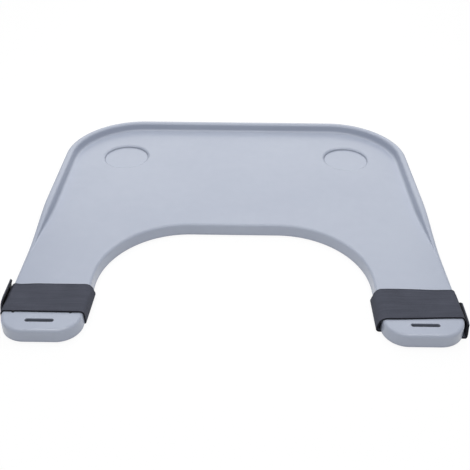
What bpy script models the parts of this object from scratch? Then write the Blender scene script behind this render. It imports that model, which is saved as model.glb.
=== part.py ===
"""Wheelchair tray: a moulded plastic tray with a raised rim, a cut-out for the user's body, two cup
recesses and a slotted tip on each arm, closed below by a screwed panel. A hook-and-loop strap goes
round each arm.

Metres, +Z up. +Y runs from the arm tips to the back edge, X = 0 is the middle of the tray and Z = 0 is
what the tray lies on, the underside of its straps.
"""

import math

import bmesh
import bpy
from mathutils import Matrix, Vector

# Tray moulding
tray_width = 0.620
tray_depth = 0.580
skirt_depth = 0.019
rim_height = 0.0145
skin = 0.003
draft_share = 0.035
back_corner_radius = 0.132
arm_width = 0.110
tip_outer_radius = 0.036
tip_inner_radius = 0.032
cutout_depth = 0.244
cutout_corner_radius = 0.131

# Rim, seen across: a rounded top, a leaning inner wall and a round foot on the deck
rim_width = 0.0115
rim_outer_radius = 0.0035
rim_inner_radius = 0.0036
rim_foot_radius = 0.0045
rim_wall_lean = math.radians(10)
edge_radius = 0.0045
plain_shoulder = 0.0025

# The rim falls to the deck between these distances from the arm tips
rim_full_from_tip = 0.299
rim_gone_from_tip = 0.165

# Cup recesses
recess_radius = 0.0392
recess_depth = 0.004
recess_side_slope = 0.0015
recess_from_side = 0.107
recess_from_back = 0.1175

# Slots in the arm tips
slot_length = 0.0385
slot_width = 0.006
slot_from_tip = 0.0215
slot_collar = 0.002

# Ribs and bosses under the deck
rib_thickness = 0.002
rib_relief = 0.001
rib_top_into_deck = 0.0005
rib_end_cover = 0.0004
boss_radius = 0.004
rib_recess_clearance = 0.0078
front_rib_share = 0.42
arm_rib_shares = (0.861, 0.511)
rib_column_share = 0.15

# Underside panel and its screws
panel_thickness = 0.0025
screw_head_radius = 0.0038
screw_head_height = 0.0018
screw_head_sink = 0.0002
screw_radius = 0.00175
screw_length = 0.011
screw_point = 0.002
screw_recess_length = 0.0044
screw_recess_width = 0.0009
screw_recess_depth = 0.001

# Straps
strap_width = 0.058
strap_thickness = 0.0018
loop_thickness = 0.0009
hook_thickness = 0.001
left_strap_from_tip = 0.036
right_strap_from_tip = 0.032
right_strap_skew = -0.009
patch_margin = 0.002
patch_hem = 0.001

# Free ends of the straps: how far above the deck they reach at the front and at the rear, and how much
# narrower they are at each side of the top
left_end_front_rise = 0.006
left_end_rear_rise = 0.0095
left_end_taper = 0.003
right_end_front_rise = -0.006
right_end_rear_rise = -0.004
right_end_taper = 0.006

# Gap between pieces that touch, and how far a cut or a joined shape runs past a face
fit_gap = 0.0003
overrun = 0.001
merge_distance = 0.00001

# Number of flats on round shapes
corner_steps = 10
tip_steps = 5
fade_steps = 6
outside_steps = (4, 3, 3)
inside_steps = (2, 1, 2)
bend_steps = 5
round_steps = 32
small_round_steps = 12
nose_shares = (0.5, 0.87, 0.98)

# Levels and places that follow from the sizes
foot_z = fit_gap + strap_thickness
deck_z = foot_z + skirt_depth
panel_top_z = foot_z + panel_thickness
seat_z = panel_top_z + fit_gap
half_width = tray_width / 2
half_depth = tray_depth / 2
tip_y = -half_depth
arm_middle_x = half_width - arm_width / 2
cutout_half_width = half_width - arm_width
cutout_top_y = tip_y + cutout_depth
cutout_corner_x = cutout_half_width - cutout_corner_radius
cutout_corner_y = cutout_top_y - cutout_corner_radius
back_corner_x = half_width - back_corner_radius
back_corner_y = half_depth - back_corner_radius
slot_y = tip_y + slot_from_tip
recess_x = half_width - recess_from_side
recess_y = half_depth - recess_from_back


def clear_scene():
    """Removes whatever the scene holds."""
    for item in list(bpy.data.objects):
        bpy.data.objects.remove(item, do_unlink=True)


def material(name, colour, roughness, metallic=0.0):
    """A plain finish from a linear colour, a roughness and how metallic it is."""
    made = bpy.data.materials.new(name)
    made.use_nodes = True
    shader = made.node_tree.nodes["Principled BSDF"]
    shader.inputs["Base Color"].default_value = (*colour, 1.0)
    shader.inputs["Roughness"].default_value = roughness
    shader.inputs["Metallic"].default_value = metallic
    return made


def add_object(name, bm, finish, origin=(0, 0, 0)):
    """Makes an object of a mesh drawn in world places, with its own origin at the given point."""
    bmesh.ops.recalc_face_normals(bm, faces=bm.faces)
    bmesh.ops.translate(bm, verts=bm.verts, vec=-Vector(origin))
    mesh = bpy.data.meshes.new(name)
    bm.to_mesh(mesh)
    bm.free()
    if finish:
        mesh.materials.append(finish)
    mesh.shade_smooth()
    mesh.set_sharp_from_angle(angle=math.radians(30))
    made = bpy.data.objects.new(name, mesh)
    bpy.context.scene.collection.objects.link(made)
    made.location = Vector(origin)
    return made


def combine(target, tool, operation):
    """Joins a hidden shape to the target, or cuts the target with it."""
    tool.hide_render = True
    tool.display_type = "WIRE"
    step = target.modifiers.new(tool.name, "BOOLEAN")
    step.operation = operation
    step.object = tool
    step.solver = "EXACT"


def arc(centre, radius, start, end, steps):
    """Points along an arc, both ends included, between two angles in degrees."""
    points = []
    for i in range(steps + 1):
        angle = math.radians(start + (end - start) * i / steps)
        points.append((centre[0] + radius * math.cos(angle), centre[1] + radius * math.sin(angle)))
    return points


def prism(outline, low_z, high_z):
    """A solid with the given outline in plan."""
    bm = bmesh.new()
    low = [bm.verts.new((x, y, low_z)) for x, y in outline]
    high = [bm.verts.new((x, y, high_z)) for x, y in outline]
    bm.faces.new(low[::-1])
    bm.faces.new(high)
    for i, corner in enumerate(low):
        after = (i + 1) % len(low)
        bm.faces.new((corner, low[after], high[after], high[i]))
    return bm


def turned(profile, place, steps):
    """A solid of revolution about a vertical axis, from (radius, height) points that end on the axis."""
    bm = bmesh.new()
    corners = [bm.verts.new((radius, 0, z)) for radius, z in profile]
    edges = [bm.edges.new(pair) for pair in zip(corners, corners[1:])]
    bmesh.ops.spin(
        bm, geom=corners + edges, axis=(0, 0, 1), cent=(0, 0, 0), angle=math.tau, steps=steps, use_merge=True
    )
    bmesh.ops.remove_doubles(bm, verts=bm.verts, dist=merge_distance)
    bmesh.ops.translate(bm, verts=bm.verts, vec=(place[0], place[1], 0))
    return bm


def disc(place, radius, low_z, high_z, steps):
    """An upright cylinder."""
    return turned(((0, low_z), (radius, low_z), (radius, high_z), (0, high_z)), place, steps)


def box(low, high):
    """A block between two opposite corners."""
    bm = bmesh.new()
    size = Vector(high) - Vector(low)
    middle = (Vector(high) + Vector(low)) / 2
    bmesh.ops.create_cube(bm, size=1, matrix=Matrix.Translation(middle) @ Matrix.Diagonal((*size, 1)))
    return bm


def together(shapes):
    """Puts shapes that don't touch each other into one mesh."""
    whole = bmesh.new()
    for shape in shapes:
        mesh = bpy.data.meshes.new("shape")
        shape.to_mesh(mesh)
        shape.free()
        whole.from_mesh(mesh)
        bpy.data.meshes.remove(mesh)
    return whole


def stadium(centre, length, width):
    """The outline of a slot with round ends, long along X."""
    reach = (length - width) / 2
    steps = small_round_steps // 2
    right = arc((centre[0] + reach, centre[1]), width / 2, -90, 90, steps)
    left = arc((centre[0] - reach, centre[1]), width / 2, 90, 270, steps)
    return right + left


def tray_outline():
    """Stations round the skirt's foot: a point, the way into the plastic, and how much rim is there."""
    stations = []

    def corner(centre, radius, start, end, steps, rim, way=-1):
        for i in range(steps + 1):
            angle = math.radians(start + (end - start) * i / steps)
            ray = Vector((math.cos(angle), math.sin(angle)))
            stations.append((Vector(centre) + radius * ray, way * ray, rim))

    def side(way, order):
        """The straight side of the tray where the rim fades."""
        for i in order:
            share = i / fade_steps
            from_tip = rim_gone_from_tip + (rim_full_from_tip - rim_gone_from_tip) * share
            rim = share * share * (3 - 2 * share)
            stations.append((Vector((way * half_width, tip_y + from_tip)), Vector((-way, 0)), rim))

    outer_x = half_width - tip_outer_radius
    inner_x = cutout_half_width + tip_inner_radius
    outer_y = tip_y + tip_outer_radius
    inner_y = tip_y + tip_inner_radius
    corner((outer_x, outer_y), tip_outer_radius, -90, 0, tip_steps, 0)
    side(1, range(fade_steps + 1))
    corner((back_corner_x, back_corner_y), back_corner_radius, 0, 90, corner_steps, 1)
    corner((-back_corner_x, back_corner_y), back_corner_radius, 90, 180, corner_steps, 1)
    side(-1, range(fade_steps, -1, -1))
    corner((-outer_x, outer_y), tip_outer_radius, 180, 270, tip_steps, 0)
    corner((-inner_x, inner_y), tip_inner_radius, 270, 360, tip_steps, 0)
    corner((-cutout_corner_x, cutout_corner_y), cutout_corner_radius, 180, 90, corner_steps, 0, way=1)
    corner((cutout_corner_x, cutout_corner_y), cutout_corner_radius, 90, 0, corner_steps, 0, way=1)
    corner((inner_x, inner_y), tip_inner_radius, 180, 270, tip_steps, 0)
    return stations


def draft_at(z):
    """How far the skirt's outer face leans in at a height."""
    return draft_share * (z - foot_z)


def wall_section(inset, rim, steps):
    """The moulding across its edge, as (distance in, height) points from the skirt's foot to the deck.

    An inset of zero gives the outside of the skin, and an inset of the skin's thickness its inside.
    The steps are those of the rim's outer top, its inner top and its foot.
    """
    top_steps, inner_steps, foot_steps = steps
    rim_top = deck_z + rim_height
    outer_z = rim_top - rim_outer_radius
    inner_z = rim_top - rim_inner_radius
    lean = math.degrees(rim_wall_lean)
    outer = (draft_at(outer_z) + rim_outer_radius, outer_z)
    inner = (draft_at(outer_z) + rim_width - rim_inner_radius, inner_z)
    fall = inner_z - deck_z - rim_foot_radius
    reach = (rim_inner_radius + rim_foot_radius) / math.cos(rim_wall_lean)
    foot = (inner[0] + reach + fall * math.tan(rim_wall_lean), deck_z + rim_foot_radius)
    full = arc(outer, rim_outer_radius - inset, 180, 90, top_steps)
    full += arc(inner, rim_inner_radius - inset, 90, lean, inner_steps)
    full += arc(foot, rim_foot_radius + inset, 180 + lean, 270, foot_steps)

    edge_z = deck_z - edge_radius
    edge = (draft_at(edge_z) + edge_radius, edge_z)
    plain = arc(edge, edge_radius - inset, 180, 90, top_steps)
    flat_points = inner_steps + foot_steps + 2
    for i in range(1, flat_points + 1):
        plain.append((edge[0] + plain_shoulder * i / flat_points, deck_z - inset))

    section = [(inset, foot_z)]
    for (full_in, full_z), (plain_in, plain_z) in zip(full, plain):
        section.append((plain_in + (full_in - plain_in) * rim, plain_z + (full_z - plain_z) * rim))
    return section


def tray_skin():
    """The moulding without its ribs and holes: rim, deck and skirt as one skin."""
    bm = bmesh.new()
    rings = []
    for place, inward, rim in tray_outline():
        outside = wall_section(0, rim, outside_steps)
        inside = wall_section(skin, rim, inside_steps)
        ring = []
        for distance, z in inside[::-1] + outside:
            point = place + inward * distance
            ring.append(bm.verts.new((*point, z)))
        rings.append(ring)
    for i, ring in enumerate(rings):
        after = rings[(i + 1) % len(rings)]
        for j in range(len(ring) - 1):
            bm.faces.new((ring[j], after[j], after[j + 1], ring[j + 1]))
    bm.faces.new([ring[-1] for ring in rings])
    bm.faces.new([ring[0] for ring in rings][::-1])
    return bm


def side_reach(y, inset):
    """How far the tray reaches sideways at a place along it, measured this far in from its outline."""
    if y <= back_corner_y:
        return half_width - inset
    return back_corner_x + math.sqrt((back_corner_radius - inset) ** 2 - (y - back_corner_y) ** 2)


def back_reach(x, inset):
    """How far the tray reaches back at a distance to the side, in from its outline."""
    if x <= back_corner_x:
        return half_depth - inset
    return back_corner_y + math.sqrt((back_corner_radius - inset) ** 2 - (x - back_corner_x) ** 2)


def cutout_reach(y, inset):
    """Where the plastic beside the cut-out begins at a place along it, in from its outline."""
    if y <= cutout_corner_y:
        return cutout_half_width + inset
    return cutout_corner_x + math.sqrt((cutout_corner_radius + inset) ** 2 - (y - cutout_corner_y) ** 2)


def cutout_end(x, inset):
    """Where the plastic behind the cut-out begins at a distance to the side, in from its outline."""
    if x <= cutout_corner_x:
        return cutout_top_y + inset
    return cutout_corner_y + math.sqrt((cutout_corner_radius + inset) ** 2 - (x - cutout_corner_x) ** 2)


def rib_rows():
    """Places of the long ribs: two pass the recesses in front and behind, and the first one lies between
    them and the cut-out."""
    clear = recess_radius + skin + rib_recess_clearance
    middle_row = recess_y - clear
    first_row = cutout_top_y + front_rib_share * (middle_row - cutout_top_y)
    return first_row, middle_row, recess_y + clear


def arm_rib_rows():
    """Places of the short ribs across each arm, beside the cut-out."""
    return [tip_y + share * cutout_depth for share in arm_rib_shares]


def screw_places():
    """Screws stand where the ribs cross."""
    first_row, _, last_row = rib_rows()
    places = {"front_middle": (0, first_row), "back_middle": (0, last_row)}
    for word, way in (("left", -1), ("right", 1)):
        x = way * arm_middle_x
        places[word + "_front"] = (x, first_row)
        places[word + "_back"] = (x, last_row)
        for place, y in zip(("arm_root", "arm"), arm_rib_rows()):
            places[f"{word}_{place}"] = (x, y)
    return places


def rib_end_inset(top_z):
    """How far in from the skirt's foot a rib of this height ends, covered by the rounded edge above it."""
    edge_z = deck_z - edge_radius
    edge_in = draft_at(edge_z) + edge_radius - math.sqrt(edge_radius**2 - (top_z - edge_z) ** 2)
    return edge_in + rib_end_cover


def ribs():
    """The ribs across and the ribs along: their ends run into the skirt and their tops into the deck."""
    low_z = seat_z + rib_relief
    high_z = deck_z - skin + rib_top_into_deck
    into = rib_end_inset(high_z)
    half = rib_thickness / 2
    rows = []
    columns = []
    for y in rib_rows():
        end = side_reach(y + half, into)
        rows.append(box((-end, y - half, low_z), (end, y + half, high_z)))
    for x in (-rib_column_share * tray_width, 0, rib_column_share * tray_width):
        ends = (cutout_end(abs(x) - half, into), back_reach(abs(x) + half, into))
        columns.append(box((x - half, ends[0], low_z), (x + half, ends[1], high_z)))
    for way in (-1, 1):
        x = way * arm_middle_x
        end = back_reach(arm_middle_x + half, into)
        columns.append(box((x - half, tip_y + into, low_z), (x + half, end, high_z)))
        for y in arm_rib_rows():
            ends = sorted((way * cutout_reach(y - half, into), way * side_reach(y + half, into)))
            rows.append(box((ends[0], y - half, low_z), (ends[1], y + half, high_z)))
    return rows, columns


def tray_top_shell(plastic):
    """The moulding: its skin, then what stands under the deck, then its recesses, slots and bores."""
    shell = add_object("tray_top_shell", tray_skin(), plastic)
    join_z = deck_z - skin / 2
    floor_z = deck_z - recess_depth
    over_z = deck_z + overrun
    slope_share = recess_side_slope / recess_depth
    hollow_profile = (
        (0, floor_z),
        (recess_radius - recess_side_slope, floor_z),
        (recess_radius + slope_share * overrun, over_z),
        (0, over_z),
    )
    bore_radius = screw_radius + fit_gap
    bore_z = foot_z + screw_head_sink + screw_length + fit_gap

    rows, columns = ribs()
    stands = []
    hollows = []
    for place in screw_places().values():
        stands.append(disc(place, boss_radius, seat_z, join_z, small_round_steps))
        hollows.append(disc(place, bore_radius, seat_z - overrun, bore_z, small_round_steps))
    for way in (-1, 1):
        place = (way * recess_x, recess_y)
        stands.append(disc(place, recess_radius + skin, floor_z - skin, join_z, round_steps))
        hollows.append(turned(hollow_profile, place, round_steps))
        place = (way * arm_middle_x, slot_y)
        collar = stadium(place, slot_length + 2 * slot_collar, slot_width + 2 * slot_collar)
        stands.append(prism(collar, seat_z, join_z))
        hollows.append(prism(stadium(place, slot_length, slot_width), foot_z - overrun, over_z))
    combine(shell, add_object("ribs_across", together(rows), None), "UNION")
    combine(shell, add_object("ribs_along", together(columns), None), "UNION")
    combine(shell, add_object("bosses_dishes_and_collars", together(stands), None), "UNION")
    combine(shell, add_object("recesses_slots_and_bores", together(hollows), None), "DIFFERENCE")


def underside_panel(plastic):
    """The flat cover inside the skirt, with a countersunk hole at each screw."""
    inset = skin + draft_at(panel_top_z) + fit_gap
    outline = [place + inward * inset for place, inward, _ in tray_outline()]
    panel = add_object("underside_panel", prism(outline, foot_z, panel_top_z), plastic)
    low_z = foot_z - overrun
    head_top_z = foot_z + screw_head_sink + screw_head_height
    head_slope = (screw_head_radius - screw_radius) / screw_head_height
    mouth_radius = screw_head_radius + fit_gap + head_slope * (screw_head_sink + overrun)
    hole_radius = screw_radius + fit_gap
    hole_profile = (
        (0, low_z),
        (mouth_radius, low_z),
        (hole_radius, head_top_z),
        (hole_radius, panel_top_z + overrun),
        (0, panel_top_z + overrun),
    )
    holes = [turned(hole_profile, place, small_round_steps) for place in screw_places().values()]
    for way in (-1, 1):
        outline = stadium((way * arm_middle_x, slot_y), slot_length, slot_width)
        holes.append(prism(outline, low_z, panel_top_z + overrun))
    combine(panel, add_object("countersinks_and_slots", together(holes), None), "DIFFERENCE")


def cross(centre, length, width):
    """The outline of a cross recess."""
    far = length / 2
    near = width / 2
    corners = [(far, -near), (far, near), (near, near)]
    outline = []
    for x_way, y_way in ((1, 0), (0, 1), (-1, 0), (0, -1)):
        for x, y in corners:
            outline.append((centre[0] + x * x_way - y * y_way, centre[1] + x * y_way + y * x_way))
    return outline


def screws(steel):
    """Countersunk self-tapping screws, their heads just inside the panel's face."""
    head_z = foot_z + screw_head_sink
    end_z = head_z + screw_length
    profile = (
        (0, head_z),
        (screw_head_radius, head_z),
        (screw_radius, head_z + screw_head_height),
        (screw_radius, end_z - screw_point),
        (0, end_z),
    )
    for name, place in screw_places().items():
        shaft = turned(profile, place, small_round_steps)
        screw = add_object("screw_" + name, shaft, steel, origin=(*place, head_z))
        outline = cross(place, screw_recess_length, screw_recess_width)
        recess = prism(outline, head_z - overrun, head_z + screw_recess_depth)
        combine(screw, add_object("recess_" + name, recess, None), "DIFFERENCE")


def strap_run(front_line, rear_line, thickness, round_ends=False):
    """A flat strap as a closed solid, from the middle lines of its front and rear edges.

    Round ends lie past the lines' own ends, so that a run turns about them.
    """
    stations = [(Vector(front), Vector(rear), 1) for front, rear in zip(front_line, rear_line)]
    if round_ends:
        for _ in range(2):
            stations = stations[::-1]
            front, rear, _ = stations[-1]
            way = (front - stations[-2][0] + rear - stations[-2][1]).normalized()
            way = Vector((way.x, 0, way.z)).normalized() * thickness / 2
            for share in nose_shares:
                stations.append((front + way * share, rear + way * share, math.sqrt(1 - share**2)))
    bm = bmesh.new()
    rings = []
    for i, (front, rear, left_share) in enumerate(stations):
        before = stations[max(i - 1, 0)]
        after = stations[min(i + 1, len(stations) - 1)]
        way = after[0] - before[0] + after[1] - before[1]
        across = Vector((-way.z, 0, way.x)).normalized() * thickness / 2 * left_share
        corners = (front + across, rear + across, rear - across, front - across)
        rings.append([bm.verts.new(corner) for corner in corners])
    for first, second in zip(rings, rings[1:]):
        for j, corner in enumerate(first):
            k = (j + 1) % len(first)
            bm.faces.new((corner, first[k], second[k], second[j]))
    bm.faces.new(rings[0][::-1])
    bm.faces.new(rings[-1])
    return bm


def edge_lines(way, line, front, rear):
    """Front and rear edge of a run whose middle line is (distance in from the arm's outer face, height)."""
    found = []
    for y in (front, rear):
        found.append([(way * (half_width - inward), y, z) for inward, z in line])
    return found


def free_end_lines(way, sideways, low_z, high_z, front, rear, taper):
    """Edges of a run that stands outside the arm, with its own height at the front and the rear."""
    found = []
    for y, top_z, inset in ((front, high_z[0], taper), (rear, high_z[1], -taper)):
        points = []
        for z, shift in ((low_z, 0), (top_z, inset)):
            points.append((way * (half_width - draft_at(z) + sideways), y + shift, z))
        found.append(points)
    return found


# Places of a strap's runs: how far the middle of each layer lies off the arm, from the wall outwards
band_offset = fit_gap + strap_thickness / 2
loop_offset = band_offset + strap_thickness / 2 + fit_gap + loop_thickness / 2
hook_offset = loop_offset + loop_thickness / 2 + fit_gap + hook_thickness / 2
end_offset = hook_offset + hook_thickness / 2 + fit_gap + strap_thickness / 2
underarm_z = foot_z - band_offset
hinge_clearance = strap_thickness / 2 + fit_gap


def strap(word, way, from_tip, skew, end_rises, taper, webbing, loop_tape, hook_tape):
    """One strap: its band goes over the arm, its next run passes under it, and its free end stands up
    outside the arm, where hook tape holds it to the loop patch on the band."""
    front = tip_y + from_tip
    rear = front + strap_width
    middle_y = (front + rear) / 2
    inner_hinge = (way * (cutout_half_width - band_offset), middle_y, underarm_z)
    outer_hinge = (way * (half_width + end_offset), middle_y, underarm_z)

    edge_z = deck_z - edge_radius
    bend_in = draft_at(edge_z) + edge_radius
    bend = edge_radius + band_offset
    start_z = foot_z + patch_margin
    line = [(draft_at(start_z) - band_offset, start_z)]
    line += arc((bend_in, edge_z), bend, 180, 90, bend_steps)
    line += arc((arm_width - bend_in, edge_z), bend, 90, 0, bend_steps)
    line += [(arm_width + band_offset, underarm_z + hinge_clearance)]
    band = strap_run(*edge_lines(way, line, front, rear), strap_thickness)
    add_object(word + "_strap_band", band, webbing, origin=(way * arm_middle_x, middle_y, deck_z))

    line = [(draft_at(z) - loop_offset, z) for z in (start_z + patch_hem, edge_z)]
    patch = strap_run(*edge_lines(way, line, front + patch_margin, rear - patch_margin), loop_thickness)
    add_object(word + "_loop_patch", patch, loop_tape, origin=(way * arm_middle_x, middle_y, deck_z))

    outer_edges = [(outer_hinge[0], y, underarm_z) for y in (front + skew, rear + skew)]
    inner_edges = [(inner_hinge[0], y, underarm_z) for y in (front, rear)]
    front_line, rear_line = zip(inner_edges, outer_edges)
    underarm = strap_run(front_line, rear_line, strap_thickness, round_ends=True)
    add_object(word + "_strap_underarm", underarm, webbing, origin=inner_hinge)

    tops = [deck_z + rise for rise in end_rises]
    low_z = underarm_z + hinge_clearance
    lines = free_end_lines(way, end_offset, low_z, tops, front + skew, rear + skew, taper)
    add_object(word + "_strap_end", strap_run(*lines, strap_thickness), webbing, origin=outer_hinge)

    tops = [top - patch_hem for top in tops]
    lines = free_end_lines(way, hook_offset, start_z, tops, front + skew, rear + skew, taper)
    add_object(word + "_hook_patch", strap_run(*lines, hook_thickness), hook_tape, origin=outer_hinge)


def build():
    """Makes every piece of the tray in its own material."""
    clear_scene()
    plastic = material("moulded_plastic", (0.51, 0.55, 0.65), 0.38)
    panel_plastic = material("panel_plastic", (0.45, 0.48, 0.56), 0.5)
    steel = material("screw_steel", (0.6, 0.6, 0.62), 0.35, 1.0)
    webbing = material("strap_webbing", (0.09, 0.093, 0.12), 0.85)
    loop_tape = material("loop_tape", (0.06, 0.062, 0.08), 0.95)
    hook_tape = material("hook_tape", (0.015, 0.015, 0.02), 0.6)
    tray_top_shell(plastic)
    underside_panel(panel_plastic)
    screws(steel)
    tapes = (webbing, loop_tape, hook_tape)
    left_rises = (left_end_front_rise, left_end_rear_rise)
    right_rises = (right_end_front_rise, right_end_rear_rise)
    strap("left", -1, left_strap_from_tip, 0, left_rises, left_end_taper, *tapes)
    strap("right", 1, right_strap_from_tip, right_strap_skew, right_rises, right_end_taper, *tapes)


build()
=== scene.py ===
"""The wheelchair tray dressed for the photograph's view: a pale blue-grey moulded tray lying on a white
floor, with a hook-and-loop strap round each arm.

Metres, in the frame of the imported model: +Y runs from the arm tips to the back edge, +Z is up.
"""

import math

import bmesh
import bpy
from mathutils import Matrix, Vector


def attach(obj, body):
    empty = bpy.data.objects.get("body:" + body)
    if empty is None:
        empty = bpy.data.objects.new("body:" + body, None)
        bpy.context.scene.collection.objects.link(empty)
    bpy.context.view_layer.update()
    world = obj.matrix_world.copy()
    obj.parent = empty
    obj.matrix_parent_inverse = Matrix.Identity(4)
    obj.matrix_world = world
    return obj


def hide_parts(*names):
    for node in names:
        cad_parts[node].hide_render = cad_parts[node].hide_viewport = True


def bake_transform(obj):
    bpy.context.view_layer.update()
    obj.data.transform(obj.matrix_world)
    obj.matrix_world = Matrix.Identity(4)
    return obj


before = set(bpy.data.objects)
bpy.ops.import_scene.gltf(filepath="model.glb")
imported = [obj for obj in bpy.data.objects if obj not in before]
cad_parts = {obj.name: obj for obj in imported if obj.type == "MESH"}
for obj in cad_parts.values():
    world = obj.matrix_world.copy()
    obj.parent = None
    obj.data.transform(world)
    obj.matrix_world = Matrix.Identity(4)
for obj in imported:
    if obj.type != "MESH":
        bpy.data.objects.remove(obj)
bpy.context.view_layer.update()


# The photographer's camera stands in front of the arm tips, a little above a metre away, and looks down
# at the deck from 36 degrees.
camera_place = Vector((0.00845, -0.91193, 0.63196))
camera_turn = math.radians(-0.48)
camera_pitch = math.radians(36.03)
camera_roll = math.radians(0.44)

ahead = Vector((
    math.sin(camera_turn) * math.cos(camera_pitch),
    math.cos(camera_turn) * math.cos(camera_pitch),
    -math.sin(camera_pitch),
))
level = Vector((math.cos(camera_turn), -math.sin(camera_turn), 0))
above = level.cross(ahead)
right = math.cos(camera_roll) * level + math.sin(camera_roll) * above
upward = -math.sin(camera_roll) * level + math.cos(camera_roll) * above
lens = bpy.data.cameras.new("camera")
lens.sensor_width = 36
lens.lens = 51.11
lens.clip_start = 0.05
lens.clip_end = 60
camera = bpy.data.objects.new("camera", lens)
bpy.context.scene.collection.objects.link(camera)
camera.matrix_world = Matrix.Translation(camera_place) @ Matrix((right, upward, -ahead)).transposed().to_4x4()
bpy.context.scene.camera = camera
bpy.context.scene.view_settings.view_transform = "Standard"


# The tray is one injection moulding of pale blue-grey plastic, 3 mm thick. A skirt goes all round it, a
# rounded rim stands along the back and sides and runs out on the arms, and ribs stiffen it below.
tray_width = 0.620
tray_depth = 0.580
foot_z = 0.0021
deck_z = 0.0211
rim_top_z = 0.0356
skin = 0.003
draft = 0.035
arm_width = 0.110
cutout_depth = 0.244
back_radius = 0.132
cutout_radius = 0.131
tip_outer_radius = 0.036
tip_inner_radius = 0.032
half_width = tray_width / 2
half_depth = tray_depth / 2
inner_x = half_width - arm_width
cutout_y = cutout_depth - half_depth
rim_gone_y = 0.165 - half_depth
rim_full_y = 0.299 - half_depth


def start_edit():
    """Opens the active object's mesh with nothing selected."""
    bpy.ops.object.mode_set(mode="EDIT")
    bpy.ops.mesh.select_all(action="DESELECT")


def choose(kind, test):
    """Selects the corners, edges or faces that pass a test, and nothing else."""
    modes = ("VERT", "EDGE", "FACE")
    bpy.context.tool_settings.mesh_select_mode = [kind == mode for mode in modes]
    bpy.ops.mesh.select_all(action="DESELECT")
    bm = bmesh.from_edit_mesh(bpy.context.object.data)
    for part in (bm.verts, bm.edges, bm.faces)[modes.index(kind)]:
        if test(part):
            part.select_set(True)
    bm.select_flush_mode()
    bmesh.update_edit_mesh(bpy.context.object.data)


def at_corner(x, y):
    """A test for the mesh corner that stands at a place in plan, on either side of the tray."""
    return lambda corner: abs(abs(corner.co.x) - x) < 1e-5 and abs(corner.co.y - y) < 1e-5


def middle(edge):
    return (edge.verts[0].co + edge.verts[1].co) / 2


def deselect_all():
    bpy.ops.object.select_all(action="DESELECT")


# The outline: a bar for the back, the arms drawn out of its front edge, and each corner rounded.
deselect_all()
bar_depth = half_depth - cutout_y
bpy.ops.mesh.primitive_plane_add(size=1, location=(0, cutout_y + bar_depth / 2, foot_z))
outline = bpy.context.object
outline.name = "tray_outline"
outline.scale = (tray_width, bar_depth, 1)
bpy.ops.object.transform_apply(location=True, rotation=True, scale=True)
start_edit()
for x in (-inner_x, inner_x):
    bpy.ops.mesh.select_all(action="SELECT")
    bpy.ops.mesh.bisect(plane_co=(x, 0, 0), plane_no=(1, 0, 0))
choose("EDGE", lambda edge: abs(middle(edge).y - cutout_y) < 1e-5 and abs(middle(edge).x) > inner_x)
bpy.ops.mesh.extrude_region_move(TRANSFORM_OT_translate={"value": (0, -cutout_depth, 0)})
bpy.ops.mesh.select_all(action="SELECT")
bpy.ops.mesh.dissolve_limited(angle_limit=0.001)
for x, y, radius, steps in (
    (half_width, half_depth, back_radius, 36),
    (inner_x, cutout_y, cutout_radius, 36),
    (half_width, -half_depth, tip_outer_radius, 16),
    (inner_x, -half_depth, tip_inner_radius, 16),
):
    choose("VERT", at_corner(x, y))
    bpy.ops.mesh.bevel(offset=radius, segments=steps, affect="VERTICES", profile=0.5)
for way in (-1, 1):
    choose("EDGE", lambda edge: abs(middle(edge).x - way * half_width) < 1e-5)
    bpy.ops.mesh.subdivide(number_cuts=71)
bpy.ops.object.mode_set(mode="OBJECT")


def arc(centre, radius, start, end, steps):
    """Points along an arc, both ends included, between two angles in degrees."""
    turns = [math.radians(start + (end - start) * i / steps) for i in range(steps + 1)]
    return [(centre[0] + radius * math.cos(turn), centre[1] + radius * math.sin(turn)) for turn in turns]


rim_width = 0.0115
rim_outer_radius = 0.0035
rim_inner_radius = 0.0048
rim_foot_radius = 0.0055
rim_lean = 10
edge_radius = 0.0045
shoulder = 0.0025
deck_ring = 0.002


def edge_section(inset, steps):
    """The moulding across its edge with the full rim, and across its plain edge, as (distance in, height)
    points. An inset of zero follows the outside, and an inset of the skin's thickness the inside."""
    outer_z = rim_top_z - rim_outer_radius
    inner_z = rim_top_z - rim_inner_radius
    wall_in = draft * (outer_z - foot_z)
    lean = math.radians(rim_lean)
    inner_in = wall_in + rim_width - rim_inner_radius
    foot_in = inner_in + (rim_inner_radius + rim_foot_radius) / math.cos(lean)
    foot_in += (inner_z - deck_z - rim_foot_radius) * math.tan(lean)
    full = arc((wall_in + rim_outer_radius, outer_z), rim_outer_radius - inset, 180, 90, steps[0])
    full += arc((inner_in, inner_z), rim_inner_radius - inset, 90, rim_lean, steps[1])
    full += arc((foot_in, deck_z + rim_foot_radius), rim_foot_radius + inset, 180 + rim_lean, 270, steps[2])
    edge_z = deck_z - edge_radius
    edge_in = draft * (edge_z - foot_z) + edge_radius
    plain = arc((edge_in, edge_z), edge_radius - inset, 180, 90, steps[0])
    rest = steps[1] + steps[2] + 2
    plain += [(edge_in + shoulder * i / rest, deck_z - inset) for i in range(1, rest + 1)]
    return list(zip(full, plain))


def select_active(piece):
    deselect_all()
    piece.select_set(True)
    bpy.context.view_layer.objects.active = piece


def duplicate_of(piece, name):
    """A copy with its own mesh, selected and active."""
    made = piece.copy()
    made.data = piece.data.copy()
    made.name = name
    bpy.context.scene.collection.objects.link(made)
    select_active(made)
    return made


# The outline is drawn up into the skirt, over the rim and down to the deck by one inset for each step of
# the section, and its foot is closed and drawn up again inside. Each corner is marked with its place in the
# outline, its rail, and with its step of the section, its ring.
tray = duplicate_of(outline, "tray_moulding")
tray.data.attributes.new("rail", "INT", "POINT")
tray.data.attributes.new("ring", "INT", "POINT")
for i, mark in enumerate(tray.data.attributes["rail"].data):
    mark.value = i


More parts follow.
